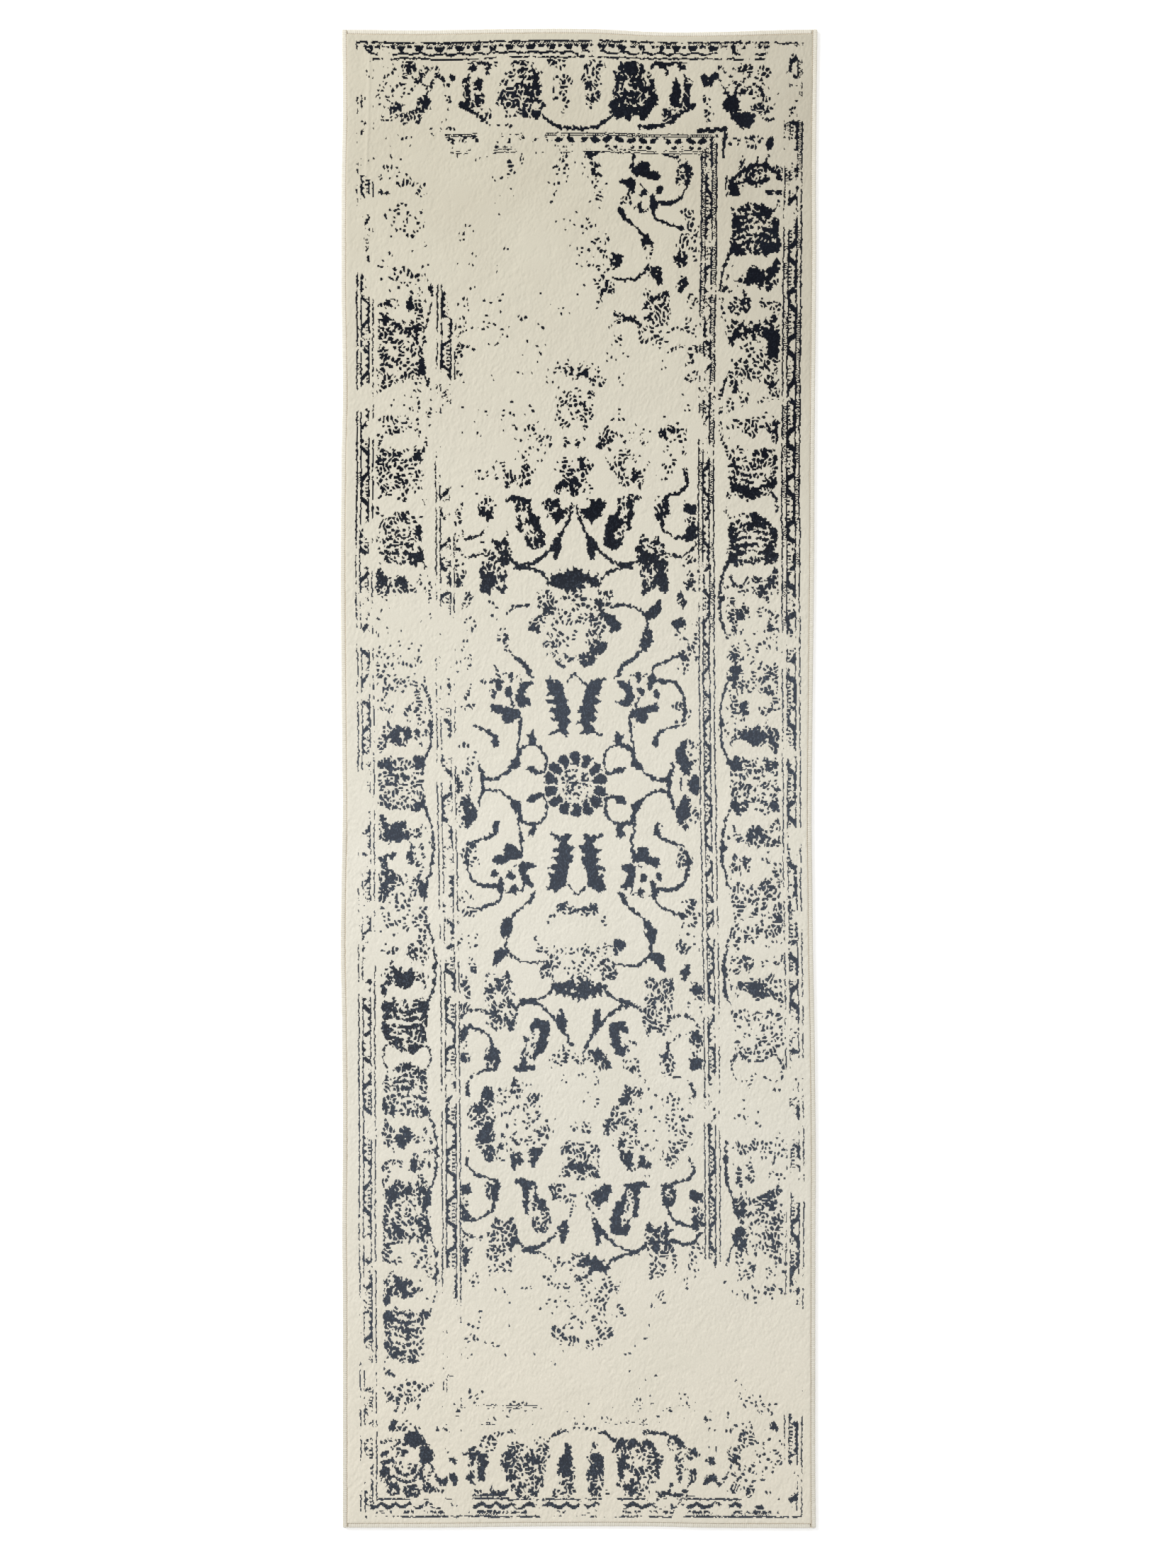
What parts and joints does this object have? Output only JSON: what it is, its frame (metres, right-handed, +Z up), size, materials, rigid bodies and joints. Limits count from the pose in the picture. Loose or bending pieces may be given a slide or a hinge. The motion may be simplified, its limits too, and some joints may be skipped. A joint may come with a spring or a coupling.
{
  "type": "runner rug",
  "caption": "Long narrow cut-pile runner rug with a faded floral medallion pattern, overlocked edges and a latex backing, to lie flat on a floor.",
  "frame": {"origin": "on the floor under the centre of the rug", "axes": "+Z up out of the pile, +Y along the rug towards its head end, +X across the rug"},
  "size_m": [0.67, 2.13, 0.01],
  "materials": {
    "cream_pile": "cut pile yarn, ivory, matt",
    "navy_pile": "cut pile yarn, faded navy, matt",
    "overlock_yarn": "overlock yarn, beige, matt",
    "filler_cord": "twisted cord, undyed",
    "needle_thread": "spun polyester thread, beige",
    "ground_cloth": "woven jute and cotton, natural",
    "latex": "cured latex coat over the weave, matt"
  },
  "bodies": {
    "root": {"latex_backing": "latex", "ground_cloth": "ground_cloth", "margin_pile": "cream_pile", "outer_guard_pile": "navy_pile", "main_border_pile": "cream_pile", "inner_guard_pile": "navy_pile", "field_pile": "cream_pile", "left_overlock": "overlock_yarn", "right_overlock": "overlock_yarn", "head_overlock": "overlock_yarn", "foot_overlock": "overlock_yarn", "left_filler_cord": "filler_cord", "right_filler_cord": "filler_cord", "head_filler_cord": "filler_cord", "foot_filler_cord": "filler_cord", "left_needle_thread": "needle_thread", "right_needle_thread": "needle_thread", "head_needle_thread": "needle_thread", "foot_needle_thread": "needle_thread"}
  },
  "joints": []
}
